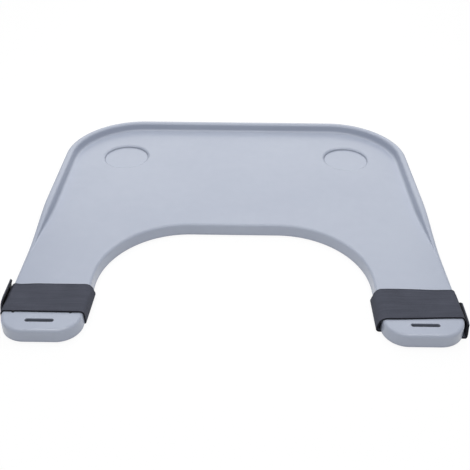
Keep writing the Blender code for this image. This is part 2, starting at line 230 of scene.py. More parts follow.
def draw_up(section, first_ring):
    """Insets the selected face along a section and marks each new ring of corners."""
    before = section[0][0]
    for i, (full, _) in enumerate(section[1:]):
        thickness = max(full[0] - before[0], 1e-7)
        bpy.ops.mesh.inset(thickness=thickness, use_even_offset=True, use_interpolate=False)
        bpy.ops.transform.translate(value=(0, 0, full[1] - before[1]))
        bm = bmesh.from_edit_mesh(tray.data)
        ring = bm.verts.layers.int["ring"]
        for corner in bm.verts:
            if corner.select:
                corner[ring] = first_ring + i
        bmesh.update_edit_mesh(tray.data)
        before = full


outside = [((0, foot_z), (0, foot_z))] + edge_section(0, (8, 6, 8))
outside.append(((outside[-1][0][0] + deck_ring, deck_z), (outside[-1][1][0] + deck_ring, deck_z)))
inside = [((0, foot_z), (0, foot_z)), ((skin, foot_z), (skin, foot_z))] + edge_section(skin, (4, 3, 4))
start_edit()
bpy.ops.mesh.select_all(action="SELECT")
draw_up(outside, 1)
choose("EDGE", lambda edge: edge.is_boundary)
bpy.ops.mesh.edge_face_add()
draw_up(inside, len(outside))
bpy.ops.object.mode_set(mode="OBJECT")

# On the arms, and round the cut-out, each rail is let down from the rim's section to the plain edge's.
rings = outside + inside[1:]
rails = {}
marks = zip(tray.data.attributes["rail"].data, tray.data.attributes["ring"].data, tray.data.vertices)
for rail_mark, ring_mark, corner in marks:
    rails.setdefault(rail_mark.value, {})[ring_mark.value] = corner
for rail in rails.values():
    foot = rail[0].co.xy
    inward = (rail[len(outside) - 1].co.xy - foot).normalized()
    along = min(max((foot.y - rim_gone_y) / (rim_full_y - rim_gone_y), 0), 1)
    rim = along * along * (3 - 2 * along)
    if abs(foot.x) < half_width - 1e-4 and foot.y < rim_full_y:
        rim = 0
    for ring, corner in rail.items():
        full, plain = rings[ring]
        place = foot + inward * (plain[0] + (full[0] - plain[0]) * rim)
        corner.co = (*place, plain[1] + (full[1] - plain[1]) * rim)


def block(low, high):
    """A block between two opposite corners."""
    centre = [(a + b) / 2 for a, b in zip(low, high)]
    bpy.ops.mesh.primitive_cube_add(size=1, location=centre)
    made = bpy.context.object
    made.scale = [b - a for a, b in zip(low, high)]
    bpy.ops.object.transform_apply(location=True, rotation=True, scale=True)
    return made


def post(place, low_z, high_z, low_radius, high_radius, sides):
    """An upright round post or cone."""
    centre = (*place, (low_z + high_z) / 2)
    bpy.ops.mesh.primitive_cone_add(
        vertices=sides, radius1=low_radius, radius2=high_radius, depth=high_z - low_z, location=centre
    )
    bpy.ops.object.transform_apply(location=True, rotation=True, scale=True)
    return bpy.context.object


def long_slot(place, length, width, low_z, high_z):
    """A block with round ends, for a slot or the collar round it."""
    x, y = place
    made = block((x - length / 2, y - width / 2, low_z), (x + length / 2, y + width / 2, high_z))
    start_edit()
    choose("EDGE", lambda edge: abs(edge.verts[0].co.z - edge.verts[1].co.z) > (high_z - low_z) / 2)
    bpy.ops.mesh.bevel(offset=width * 0.499, segments=8, affect="EDGES", profile=0.5)
    bpy.ops.object.mode_set(mode="OBJECT")
    return made


def turned(profile, sides):
    """A solid round the Z axis, drawn ring by ring through (radius, height) pairs, its ends closed."""
    radius, z = profile[0]
    bpy.ops.mesh.primitive_circle_add(vertices=sides, radius=radius, fill_type="NGON", location=(0, 0, z))
    made = bpy.context.object
    bpy.ops.object.transform_apply(location=True, rotation=True, scale=True)
    start_edit()
    bpy.ops.mesh.select_all(action="SELECT")
    for (before, before_z), (after, after_z) in zip(profile, profile[1:]):
        bpy.ops.mesh.extrude_region_move(TRANSFORM_OT_translate={"value": (0, 0, after_z - before_z)})
        bpy.ops.transform.resize(value=(after / before, after / before, 1), center_override=(0, 0, 0))
    bpy.ops.mesh.select_all(action="SELECT")
    bpy.ops.mesh.normals_make_consistent(inside=False)
    bpy.ops.object.mode_set(mode="OBJECT")
    return made


def joined(shapes):
    """Several shapes as one object."""
    deselect_all()
    for shape in shapes:
        shape.select_set(True)
    bpy.context.view_layer.objects.active = shapes[0]
    bpy.ops.object.join()
    return bpy.context.object


def combine(piece, tool, operation):
    """Joins a shape to a piece, or cuts the piece with it, and takes the shape away."""
    step = piece.modifiers.new("combine", "BOOLEAN")
    step.operation = operation
    step.object = tool
    step.solver = "EXACT"
    select_active(piece)
    bpy.ops.object.modifier_apply(modifier=step.name)
    bpy.data.objects.remove(tool, do_unlink=True)


# Under the deck stand the ribs, a screw boss where two of them cross, the round dish of each cup recess and
# the collar of each slot. They are moulded in one with the skin.
panel_top_z = 0.0046
seat_z = 0.0049
join_z = deck_z - skin / 2
recess_radius = 0.0392
recess_lip = (0.0058, 0.0034)
recess_fillet = 0.0006
recess_z = 0.0171
recess_x = 0.203
recess_y = 0.1725
arm_x = half_width - arm_width / 2
slot_y = 0.0215 - half_depth
slot_length = 0.0385
slot_width = 0.006
rib_rows = (0.02477, 0.1225, 0.2225)
arm_rib_rows = (-0.07992, -0.16532)
screw_places = [(0, rib_rows[0]), (0, rib_rows[2])]
for way in (-1, 1):
    screw_places += [(way * arm_x, y) for y in (rib_rows[0], rib_rows[2], *arm_rib_rows)]


def round_reach(centre, radius, at):
    """How far a rounded corner reaches at a distance along its other side."""
    if at <= centre[1]:
        return centre[0] + radius
    return centre[0] + math.sqrt(radius**2 - (at - centre[1]) ** 2)


back_centre = (half_width - back_radius, half_depth - back_radius)
cutout_centre = (inner_x - cutout_radius, cutout_y - cutout_radius)
rib_half = 0.001
rib_foot_gap = 0.001
rib_overlap = 0.0005
rib_low_z = seat_z + rib_foot_gap
rib_top_z = deck_z - skin + rib_overlap
middle_rib_x = 0.093
into = 0.0014
boss_radius = 0.004
pilot_radius = 0.00205
pilot_top_z = 0.0136
collar_width = 0.002
slot_edge = 0.0005
overrun = 0.001
cross_ribs = []
long_ribs = []
for y in rib_rows:
    reach = round_reach(back_centre, back_radius - into, y + rib_half)
    cross_ribs.append(block((-reach, y - rib_half, rib_low_z), (reach, y + rib_half, rib_top_z)))
for x in (-middle_rib_x, 0, middle_rib_x):
    front = round_reach(cutout_centre[::-1], cutout_radius + into, abs(x) - rib_half)
    back = round_reach(back_centre[::-1], back_radius - into, abs(x) + rib_half)
    long_ribs.append(block((x - rib_half, front, rib_low_z), (x + rib_half, back, rib_top_z)))
for way in (-1, 1):
    back = round_reach(back_centre[::-1], back_radius - into, arm_x + rib_half)
    x = way * arm_x
    long_ribs.append(block((x - rib_half, into - half_depth, rib_low_z), (x + rib_half, back, rib_top_z)))
    for y in arm_rib_rows:
        inner = round_reach(cutout_centre, cutout_radius + into, y - rib_half)
        low_x, high_x = sorted((way * inner, way * (half_width - into)))
        cross_ribs.append(block((low_x, y - rib_half, rib_low_z), (high_x, y + rib_half, rib_top_z)))
stands = [post(place, seat_z, join_z, boss_radius, boss_radius, 24) for place in screw_places]
pilot_low_z = seat_z - overrun
hollows = [post(place, pilot_low_z, pilot_top_z, pilot_radius, pilot_radius, 24) for place in screw_places]
for way in (-1, 1):
    place = (way * recess_x, recess_y)
    stands.append(post(place, recess_z - skin, join_z, recess_radius + skin, recess_radius + skin, 96))
    dish = arc((recess_radius - recess_fillet, recess_z + recess_fillet), recess_fillet, -90, 0, 5)
    for across_lip, up_lip in arc((1, -1), 1, 180, 90, 10)[1:]:
        dish.append((recess_radius + recess_lip[0] * across_lip, deck_z + recess_lip[1] * up_lip))
    hollows.append(turned(dish + [(dish[-1][0], deck_z + overrun)], 128))
    bpy.ops.object.mode_set(mode="EDIT")
    bpy.ops.mesh.select_all(action="SELECT")
    bpy.ops.transform.translate(value=(*place, 0))
    bpy.ops.object.mode_set(mode="OBJECT")
    place = (way * arm_x, slot_y)
    collar = (slot_length + 2 * collar_width, slot_width + 2 * collar_width)
    stands.append(long_slot(place, *collar, seat_z, join_z))
    hollows.append(long_slot(place, slot_length, slot_width, seat_z - overrun, deck_z + overrun))
for shapes in (cross_ribs, long_ribs, stands):
    combine(tray, joined(shapes), "UNION")
combine(tray, joined(hollows), "DIFFERENCE")


def on_slot(edge):
    """Tells whether an edge lies on the mouth of one of the slots."""
    return all(
        abs(corner.co.z - deck_z) < 1e-6
        and abs(abs(corner.co.x) - arm_x) < slot_length / 2 + 1e-5
        and abs(corner.co.y - slot_y) < slot_width / 2 + 1e-5
        for corner in edge.verts
    )


select_active(tray)
start_edit()
choose("EDGE", on_slot)
bpy.ops.mesh.bevel(offset=slot_edge, segments=3, affect="EDGES")
bpy.ops.object.mode_set(mode="OBJECT")
bpy.ops.object.shade_smooth_by_angle(angle=math.radians(40))
even = tray.modifiers.new("flat deck", "WEIGHTED_NORMAL")
even.mode = "FACE_AREA"
even.keep_sharp = True
bpy.ops.object.modifier_apply(modifier=even.name)
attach(tray, "tray")
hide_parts("tray_top_shell")


class Signal:
    """A shader socket that can stand in a sum. Each sum on signals adds the Math nodes that it needs."""

    def __init__(self, socket):
        self.socket = socket

    def node(self, kind, settings, sockets, output=0):
        """Adds a node beside this one: first its settings, then the values or signals of its sockets."""
        tree = self.socket.id_data
        made = tree.nodes.new(kind)
        for name, value in settings.items():
            setattr(made, name, value)
        for name, value in sockets.items():
            if isinstance(value, Signal):
                tree.links.new(value.socket, made.inputs[name])
            else:
                made.inputs[name].default_value = value
        return Signal(made.outputs[output])

    def math(self, operation, *values):
        return self.node("ShaderNodeMath", {"operation": operation}, dict(enumerate(values)))

    def __add__(self, other):
        return self.math("ADD", self, other)

    def __sub__(self, other):
        return self.math("SUBTRACT", self, other)

    def __mul__(self, other):
        return self.math("MULTIPLY", self, other)

    def __truediv__(self, other):
        return self.math("DIVIDE", self, other)

    def __rsub__(self, other):
        return self.math("SUBTRACT", other, self)

    __radd__ = __add__
    __rmul__ = __mul__

    def absolute(self):
        return self.math("ABSOLUTE", self)

    def sine(self):
        return self.math("SINE", self)

    def clamped(self, low, high):
        """Where the signal lies between two levels, from 0 to 1, smoothly."""
        settings = {"interpolation_type": "SMOOTHSTEP"}
        return self.node("ShaderNodeMapRange", settings, {0: self, 1: low, 2: high, 3: 0.0, 4: 1.0})

    def blend(self, first, second):
        """The first colour where the signal is 0 and the second where it is 1."""
        return self.node("ShaderNodeMix", {"data_type": "RGBA"}, {0: self, 6: first, 7: second}, 2)

    def noise(self, scale, detail=2.0, stretch=(1, 1, 1)):
        """Noise on this position, with a scale of ripples to the metre."""
        place = self.node("ShaderNodeMapping", {}, {0: self, 3: stretch})
        sockets = {"Vector": place, "Scale": scale, "Detail": detail}
        return self.node("ShaderNodeTexNoise", {"noise_dimensions": "3D"}, sockets)

    def bump(self, strength, distance, normal=None):
        """The normal of a surface that stands as high as this signal says."""
        sockets = {"Height": self, "Strength": strength, "Distance": distance}
        if normal:
            sockets["Normal"] = normal
        return self.node("ShaderNodeBump", {}, sockets)


def new_material(name, **constants):
    """A material with its plain numbers on its own sockets, its shader, and the position on the object."""
    made = bpy.data.materials.new(name)
    made.use_nodes = True
    shader = made.node_tree.nodes["Principled BSDF"]
    for socket, value in constants.items():
        shader.inputs[socket.replace("_", " ")].default_value = value
    position = Signal(made.node_tree.nodes.new("ShaderNodeTexCoord").outputs["Object"])
    return made, shader, position


def feed(shader, socket, signal):
    shader.id_data.links.new(signal.socket, shader.inputs[socket])


# Satin moulded plastic: an eroded mould grain too fine to count, a slight drift of colour over the deck, the
# faint rubbing that plates and sleeves leave on it, and painted shade inside the slots and in the corners of
# the recesses.
plastic, shader, position = new_material("moulded_plastic", Specular_IOR_Level=0.45)
drift = position.noise(5.0, detail=2.0)
cloud = position.noise(60.0, detail=3.0)
rubbing = position.noise(14.0, detail=4.0, stretch=(1.0, 2.5, 1.0)).clamped(0.42, 0.75)
tone = drift * 0.7 + cloud * 0.3
tint = tone.clamped(0.3, 0.7).blend((0.468, 0.511, 0.618, 1), (0.498, 0.543, 0.648, 1))
tint = (rubbing * 0.06).blend(tint, (0.56, 0.59, 0.68, 1))
places = [position.node("ShaderNodeSeparateXYZ", {}, {0: position}, i) for i in range(3)]
side, depth, height = places[0].absolute(), places[1], places[2]
# Painted shade: the slots' walls below the deck are darkened in the base colour, as if in shadow.
within_length = side.math("LESS_THAN", (side - arm_x).absolute(), slot_length / 2 + slot_edge)
within_width = side.math("LESS_THAN", (depth - slot_y).absolute(), slot_width)
slot_painted_shade = within_length * within_width * (deck_z - height).clamped(0.0002, 0.0025)
# Painted shade: near the recesses' walls, below the deck, the base colour is darkened a little, as if in
# shadow.
from_cup = position.node("ShaderNodeCombineXYZ", {}, {0: side - recess_x, 1: depth - recess_y})
from_cup = from_cup.node("ShaderNodeVectorMath", {"operation": "LENGTH"}, {0: from_cup}, 1)
ring = 1.0 - (from_cup - recess_radius).absolute().clamped(0.0003, 0.0022)
recess_painted_shade = ring * (deck_z - height).clamped(0.0006, 0.0028) * 0.2
shade = slot_painted_shade.math("MAXIMUM", slot_painted_shade * 0.55, recess_painted_shade)
feed(shader, "Base Color", shade.blend(tint, (0.075, 0.078, 0.092, 1)))
feed(shader, "Roughness", 0.235 + cloud * 0.03)
grain = position.noise(2600.0, detail=1.0)
feed(shader, "Normal", grain.bump(0.12, 0.0001))
tray.data.materials.append(plastic)


# The underside panel is a flat moulding of the same plastic, 2.5 mm thick, cut to lie inside the skirt. Its
# ten holes are countersunk, and the arms' slots go on through it. Screws hold it against the bosses.
panel_thickness = 0.0025
fit_gap = 0.0003
panel_edge = 0.0003
head_radius = 0.0038
head_height = 0.0018
head_sink = 0.0002
shaft_radius = 0.00175
head_z = foot_z + head_sink
head_slope = (head_radius - shaft_radius) / head_height
panel = duplicate_of(outline, "lower_panel")
start_edit()
bpy.ops.mesh.select_all(action="SELECT")
bpy.ops.mesh.inset(thickness=skin + draft * panel_thickness + fit_gap, use_even_offset=True)
bpy.ops.mesh.select_all(action="INVERT")
bpy.ops.mesh.delete(type="FACE")
bpy.ops.mesh.select_all(action="SELECT")
bpy.ops.mesh.extrude_region_move(TRANSFORM_OT_translate={"value": (0, 0, panel_thickness)})
bpy.ops.mesh.select_all(action="SELECT")
bpy.ops.mesh.normals_make_consistent(inside=False)
bpy.ops.object.mode_set(mode="OBJECT")
countersinks = []
holes = []
mouth_radius = head_radius + fit_gap + head_slope * (head_sink + overrun)
for place in screw_places:
    low_z = foot_z - overrun
    hole_radius = shaft_radius + fit_gap
    countersinks.append(post(place, low_z, head_z + head_height, mouth_radius, hole_radius, 32))
    holes.append(post(place, low_z, panel_top_z + overrun, hole_radius, hole_radius, 32))
for way in (-1, 1):
    place = (way * arm_x, slot_y)
    holes.append(long_slot(place, slot_length, slot_width, foot_z - overrun, panel_top_z + overrun))
combine(panel, joined(countersinks), "DIFFERENCE")
combine(panel, joined(holes), "DIFFERENCE")
select_active(panel)
start_edit()
choose("EDGE", lambda edge: len(edge.link_faces) == 2 and edge.calc_face_angle() > math.radians(80))
bpy.ops.mesh.bevel(offset=panel_edge, segments=2, affect="EDGES")
bpy.ops.object.mode_set(mode="OBJECT")
bpy.ops.object.shade_smooth_by_angle(angle=math.radians(30))
bpy.data.objects.remove(outline, do_unlink=True)
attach(panel, "tray")
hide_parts("underside_panel")

panel_plastic, shader, position = new_material("panel_plastic", Specular_IOR_Level=0.4)
cloud = position.noise(45.0, detail=3.0)
scuffs = position.noise(18.0, detail=6.0, stretch=(1.0, 9.0, 1.0)).clamped(0.58, 0.76)
tint = cloud.clamped(0.3, 0.7).blend((0.435, 0.470, 0.575, 1), (0.465, 0.500, 0.605, 1))
feed(shader, "Base Color", (scuffs * 0.16).blend(tint, (0.56, 0.59, 0.66, 1)))
feed(shader, "Roughness", 0.46 + cloud * 0.08 + scuffs * 0.1)
feed(shader, "Normal", position.noise(2200.0, detail=1.0).bump(0.14, 0.0001))
panel.data.materials.append(panel_plastic)


# The screws are zinc-plated steel, self-tapping, with a countersunk head and a cross recess. One is turned,
# given its thread and its recess, and copied to the other nine places.
screw_length = 0.011
screw_point = 0.002
thread_pitch = 0.0013
core_radius = 0.00135
recess_length = 0.0044
recess_width = 0.0009
cross_depth = 0.001
head_edge = 0.0002
point_radius = 0.0002
screw_names = ["front_middle", "back_middle"]
for word in ("left", "right"):
    screw_names += [f"{word}_{place}" for place in ("front", "back", "arm_root", "arm")]

head = [(head_radius - head_edge, head_z), (head_radius, head_z + head_edge)]
head.append((shaft_radius, head_z + head_height))
shaft = [(shaft_radius, head_z + head_height + thread_pitch / 2)]
end_z = head_z + screw_length
turns = int((screw_length - head_height) / thread_pitch - 1)
for i in range(turns):
    z = shaft[0][1] + thread_pitch * i
    crest = min(shaft_radius, core_radius + (end_z - z) * 0.2)
    shaft += [(core_radius, z + thread_pitch * 0.3), (core_radius, z + thread_pitch * 0.6)]
    shaft += [(crest, z + thread_pitch)]
shaft += [(core_radius * 0.8, end_z - screw_point / 2), (point_radius, end_z)]
screw = turned(head + shaft, 28)
screw.name = "screw"
for size in ((recess_length, recess_width), (recess_width, recess_length)):
    corner = (size[0] / 2, size[1] / 2, head_z + cross_depth)
    bar = block((-corner[0], -corner[1], head_z - overrun), corner)
    combine(screw, bar, "DIFFERENCE")
select_active(screw)
bpy.ops.object.shade_smooth_by_angle(angle=math.radians(35))

steel, shader, position = new_material("zinc_plated_steel", Metallic=1.0)
patina = position.noise(900.0, detail=3.0)
turning = position.noise(2500.0, detail=1.0, stretch=(0.1, 0.1, 1.0))
feed(shader, "Base Color", patina.clamped(0.3, 0.7).blend((0.56, 0.56, 0.55, 1), (0.70, 0.70, 0.68, 1)))
feed(shader, "Roughness", 0.24 + patina * 0.18)
feed(shader, "Normal", turning.bump(0.1, 0.00005))
screw.data.materials.append(steel)
for name, place in zip(screw_names, screw_places):
    made = duplicate_of(screw, "fastener_" + name)
    bpy.ops.transform.translate(value=(*place, 0))
    bpy.ops.object.transform_apply(location=True, rotation=True, scale=True)
    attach(made, "tray")
    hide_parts("screw_" + name)
bpy.data.objects.remove(screw, do_unlink=True)


# Each strap is one length of dark grey woven webbing, 58 mm wide and 1.8 mm thick. It goes up the arm's outer
# wall, over the deck, down the inner wall and back under the arm, and its free end stands up outside. It is
# laid here in two lengths, which meet edge to edge under the arm, because it opens there and at both sides.
webbing_thickness = 0.0018
webbing_lift = fit_gap + webbing_thickness / 2
bend_in = draft * (deck_z - edge_radius - foot_z) + edge_radius
bend_z = deck_z - edge_radius
bend_radius = edge_radius + webbing_lift
under_z = foot_z - webbing_lift
start_gap = 0.002
start_z = foot_z + start_gap
seam_in = arm_width * 0.47
end_out = 0.0058


def ramp(share, stops):
    """A broken line through (share, level) stops."""
    for (low, first), (high, second) in zip(stops, stops[1:]):
        if share <= high:
            return first + (second - first) * (share - low) / (high - low)
    return stops[-1][1]


def wrapped(rounds, bend_steps, run_steps, sway=()):
    """The line of one edge of a strap, drawn tight clockwise round circles in the plane across the arm. Each
    round is (distance in from the arm's outer face, height, radius, y before it, y after it), and the first
    and last have no radius. Over the deck, its second run, the line sways by the (share, y) stops. It is a
    list of (distance in, y, height)."""
    turns = []
    for first, second in zip(rounds, rounds[1:]):
        way = Vector(second[:2]) - Vector(first[:2])
        lean = math.asin((first[2] - second[2]) / way.length)
        turns.append(math.degrees(math.atan2(way.y, way.x) - lean) + 90)
    turns = [turns[0], *turns, turns[-1]]
    line = []
    for i, (inward, z, radius, first_y, last_y) in enumerate(rounds):
        before, after = turns[i], turns[i + 1]
        while after > before + 1e-6:
            after -= 360
        points = arc((inward, z), radius, before, after, bend_steps) if radius else [(inward, z)]
        if line:
            begun = line[-1]
            for step in range(1, run_steps):
                share = step / run_steps
                ease = share * share * (3 - 2 * share)
                aside = ramp(share, sway) if sway and i == 2 else 0
                line.append((
                    begun[0] + (points[0][0] - begun[0]) * share,
                    begun[1] + (first_y - begun[1]) * ease + aside,
                    begun[2] + (points[0][1] - begun[2]) * share,
                ))
        for step, point in enumerate(points):
            line.append((point[0], first_y + (last_y - first_y) * step / bend_steps, point[1]))
    return line


def spot(line, run, length):
    """The place on a line at a length along the strip."""
    i = max(k for k in range(len(run) - 1) if k == 0 or run[k] <= length)
    return Vector(line[i]).lerp(Vector(line[i + 1]), (length - run[i]) / (run[i + 1] - run[i]))


def on_strip(way, lines, run, length, share, hug=1):
    """The place on a strip at a length along it and a share of its width. With a hug above 1 the strip's
    front part clings to the arm's rounded tip."""
    front, rear = (spot(line, run, length) for line in lines)
    place = front.lerp(rear, share)
    place.x = front.x + (rear.x - front.x) * (1 - (1 - share) ** hug)
    return Vector((way * (half_width - place.x), place.y, place.z))


def run_of(lines):
    """How far along a strip each station of its two lines is."""
    middles = [(Vector(a) + Vector(b)) / 2 for a, b in zip(*lines)]
    run = [0.0]
    for a, b in zip(middles, middles[1:]):
        run.append(run[-1] + (b - a).length)
    return run


def lay_strip(name, way, lines, thickness, begun=0.0, trim=None, hug=1):
    """A flat strip laid between the lines of its front and rear edges. Its corners carry how far they lie
    along and across the cut strip. A trim is a station and the share of the run past it that is left for
    each share of the width. Gives the strip and how far along it ends."""
    steps = len(lines[0]) - 1
    deselect_all()
    bpy.ops.mesh.primitive_grid_add(x_subdivisions=steps, y_subdivisions=strip_columns, size=1)
    strip = bpy.context.object
    strip.name = name
    run = run_of(lines)
    marks = {"along": [], "across": []}
    for corner in strip.data.vertices:
        station = round((corner.co.x + 0.5) * steps)
        share = corner.co.y + 0.5
        length = run[station]
        if trim and station > trim[0]:
            length = run[trim[0]] + (length - run[trim[0]]) * trim[1](share)
        corner.co = on_strip(way, lines, run, length, share, hug)
        marks["along"].append(begun + length)
        marks["across"].append(share * strap_width)
    for mark, values in marks.items():
        strip.data.attributes.new(mark, "FLOAT", "POINT")
        strip.data.attributes[mark].data.foreach_set("value", values)
    select_active(strip)
    wall = strip.modifiers.new("thickness", "SOLIDIFY")
    wall.thickness = thickness
    wall.offset = 0
    bpy.ops.object.modifier_apply(modifier=wall.name)
    rounding = strip.modifiers.new("soft edges", "BEVEL")
    rounding.width = thickness * 0.22
    rounding.segments = 2
    rounding.limit_method = "ANGLE"
    rounding.angle_limit = math.radians(60)
    bpy.ops.object.modifier_apply(modifier=rounding.name)
    bpy.ops.object.shade_smooth_by_angle(angle=math.radians(50))
    return strip, begun + run[-1]


def shifted(line, first, last, distance):
    """A stretch of a strap's line, moved to its inner side by a distance."""
    found = []
    for i in range(first, last + 1):
        before, after = Vector(line[i - 1]), Vector(line[min(i + 1, len(line) - 1)])
        way = Vector((after.x - before.x, after.z - before.z)).normalized()
        found.append((line[i][0] + way.y * distance, line[i][1], line[i][2] - way.x * distance))
    return found


bend_steps = 10
run_steps = 16
strip_columns = 28
strap_width = 0.058
strap_hug = 2

# Where a key holds two entries, they are for the strap's front edge and its rear edge. A bend and a foot are
# the turns at the top and foot of the arm's inner wall, and a corner is the free end's fold, each as (reach,
# radius). A sway is how the line drifts over the deck, a top is where the free end stops, a lean is a round
# that it leans over, and a cut is how much of it is left across its width.
straps = {
    "left": {
        "way": -1,
        "bend": ((0.0008, 0.0058), (0.0035, 0.0100)),
        "foot": ((0.0012, 0.0012), (0.0044, 0.0058)),
        "band_y": (
            (-0.2532, -0.2537, -0.2530, -0.2524, -0.2526),
            (-0.1966, -0.1962, -0.1985, -0.1972, -0.1958),
        ),
        "sway": ((), ((0, 0), (0.06, -0.0012), (0.14, -0.0009), (0.28, 0.0004), (0.6, 0), (1, 0))),
        "corner": ((0.0026, 0.0012), (0.0058, 0.0012)),
        "lean": [(0.0187, 0.0150, 0.024)],
        "top": ((-0.0008, 0.0310), (0.0000, 0.0322)),
        "end_y": ((-0.2520, -0.2510, -0.2490), (-0.1957, -0.1950, -0.1940)),
        "cut": ((0.0, 0.22), (0.16, 0.45), (0.30, 0.95), (0.92, 1.0), (1.0, 0.84)),
    },
    "right": {
        "way": 1,
        "bend": ((0.0045, 0.0110), (0.0035, 0.0100)),
        "foot": ((0.0062, 0.0045), (0.0055, 0.0050)),
        "band_y": (
            (-0.2555, -0.2590, -0.2600, -0.2605, -0.2645),
            (-0.1985, -0.1984, -0.2032, -0.2030, -0.2070),
        ),
        "sway": ((), ((0, 0), (0.25, -0.0008), (0.5, 0.0001), (0.75, 0.0006), (0.88, 0.0006), (1, 0))),
        "corner": ((0.0022, 0.0015), (0.0058, 0.0040)),
        "lean": [],
        "top": ((-0.0050, 0.0170), (-0.0060, 0.0180)),
        "end_y": ((-0.2715, -0.2705, -0.2620), (-0.2130, -0.2130, -0.2130)),
        "cut": ((0.0, 0.94), (0.10, 1.0), (0.86, 1.0), (1.0, 0.60)),
    },
}
seam_lap = 0.0001
start_in = draft * (start_z - foot_z) - webbing_lift
deck_lift_z = deck_z + webbing_lift
for word, strap in straps.items():
    way = strap["way"]
    lines = []
    for i, (outer_y, deck_y, wall_y, foot_y, seam_y) in enumerate(strap["band_y"]):
        bend, foot = strap["bend"][i], strap["foot"][i]
        lines.append(wrapped([
            (start_in, start_z, 0, outer_y, outer_y),
            (bend_in, bend_z, bend_radius, outer_y, outer_y),
            (arm_width + bend[0] - bend[1], deck_lift_z - bend[1], bend[1], deck_y, wall_y),
            (arm_width + foot[0] - foot[1], under_z + foot[1], foot[1], foot_y, foot_y),
            (seam_in, under_z, 0, seam_y, seam_y),
        ], bend_steps, run_steps, strap["sway"][i]))
    band, band_length = lay_strip(word + "_webbing", way, lines, webbing_thickness)
    middle_y = (strap["band_y"][0][3] + strap["band_y"][1][3]) / 2
    hinge = (way * (inner_x - webbing_lift), middle_y)
    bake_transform(band)
    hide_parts(word + "_strap_band", word + "_strap_underarm")
    strap["band"] = (band, lines, band_length)

    lines = []
    for i, (corner, top, end_y) in enumerate(zip(strap["corner"], strap["top"], strap["end_y"])):
        low_y, corner_y, top_y = end_y
        seam_y = strap["band_y"][i][4]
        rounds = [(seam_in - seam_lap, under_z, 0, seam_y, seam_y)]
        rounds.append((corner[1] - corner[0], under_z + corner[1], corner[1], low_y, corner_y))
        rounds += [(*lean, top_y, top_y) for lean in strap["lean"]]
        rounds.append((*top, 0, top_y, top_y))
        lines.append(wrapped(rounds, bend_steps, run_steps))
    upright = run_steps + bend_steps
    cut = (upright, lambda share: ramp(share, strap["cut"]))
    end, length = lay_strip(word + "_free_end", way, lines, webbing_thickness, band_length, cut, strap_hug)
    hinge = (way * (half_width + end_out), middle_y)
    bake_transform(end)
    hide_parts(word + "_strap_end")
    strap["end"] = (end, lines, length - band_length)

# Nylon webbing in a ribbed weave: fine warp yarns run along it under slightly coarser ribs across, no two yarns
# quite alike. Its two selvedges are painted much darker, partly their own colour and partly painted shade on
# the strap's edges.
warp_pitch = 0.00105
weft_pitch = 0.0013
webbing_cloth, shader, position = new_material("strap_webbing", Roughness=0.88, Specular_IOR_Level=0.25)


def cut_place(position):
    """The place on the flat strip that a piece was cut from: its two attributes, and both as a vector."""
    along = position.node("ShaderNodeAttribute", {"attribute_name": "along"}, {}, "Fac")
    across = position.node("ShaderNodeAttribute", {"attribute_name": "across"}, {}, "Fac")
    return along, across, position.node("ShaderNodeCombineXYZ", {}, {0: along, 1: across})


along, across, flat = cut_place(position)
yarn = across / warp_pitch
lifted = along * (2 * math.pi / weft_pitch) + yarn.math("FLOOR", yarn) * math.pi
warp = (yarn * math.pi).sine().absolute()
over = lifted.sine() * 0.5 + 0.5
weave = warp * 0.45 + over * 0.55
streaks = flat.noise(120.0, detail=4.0, stretch=(0.12, 4.0, 1.0))
fuzz = flat.noise(900.0, detail=3.0)
patches = flat.noise(28.0, detail=2.0)
tone = weave * 0.34 + streaks * 0.33 + fuzz * 0.15 + patches * 0.18
tint = tone.clamped(0.25, 0.75).blend((0.044, 0.048, 0.064, 1), (0.112, 0.119, 0.156, 1))
# Painted shade, partly the selvedges' own colour: the base colour goes near black within about 2 mm of each
# edge.
rim = across.math("MINIMUM", across, strap_width - across)
tint = (1.0 - rim.clamped(0.0006, 0.0018)).blend(tint, (0.014, 0.015, 0.022, 1))
feed(shader, "Base Color", tint)
feed(shader, "Normal", fuzz.bump(0.25, 0.0002, weave.bump(0.6, 0.00035)))
for strap in straps.values():
    for piece in (strap["band"][0], strap["end"][0]):
        piece.data.materials.append(webbing_cloth)


# The loop patch is a short piece of looped pile tape, sewn to the strap on the arm's outer wall. The hook
# patch is black hook tape, sewn inside the free end so that it grips the loops.
loop_thickness = 0.0009
hook_thickness = 0.001
loop_gap = webbing_thickness / 2 + fit_gap + loop_thickness / 2
hook_gap = webbing_thickness / 2 + fit_gap + hook_thickness / 2
loop_inset = 0.002
loop_foot = 0.001
loop_steps = 8
hook_full = 0.97
hook_least = 0.06
leaning_part = 0.93
hook_skip = 2


def hook_cut(strap, share):
    """The share of the hook tape's run that is left beside the free end's cut."""
    part = leaning_part if strap["lean"] else 1 - hook_skip / run_steps
    return max(hook_full - (1 - ramp(share, strap["cut"])) / part, hook_least)


for word, strap in straps.items():
    way = strap["way"]
    low_z = start_z + loop_foot
    lines = []
    for y in (strap["band_y"][0][0] + loop_inset, strap["band_y"][1][0] - loop_inset):
        line = []
        for step in range(loop_steps + 1):
            z = low_z + (bend_z - low_z) * step / loop_steps
            line.append((draft * (z - foot_z) - webbing_lift - loop_gap, y, z))
        lines.append(line)
    loops, length = lay_strip(word + "_loop_tape", way, lines, loop_thickness)
    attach(loops, word + "_strap")
    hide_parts(word + "_loop_patch")
    strap["loops"] = (loops, lines, length)

    lines = [shifted(line, upright + hook_skip, len(line) - 1, hook_gap) for line in strap["end"][1]]
    cut = (0, lambda share: hook_cut(strap, share))
    hooks, length = lay_strip(word + "_hook_tape", way, lines, hook_thickness, 0.0, cut, strap_hug)
    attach(hooks, word + "_end")
    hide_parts(word + "_hook_patch")
    strap["hooks"] = (hooks, lines, length)

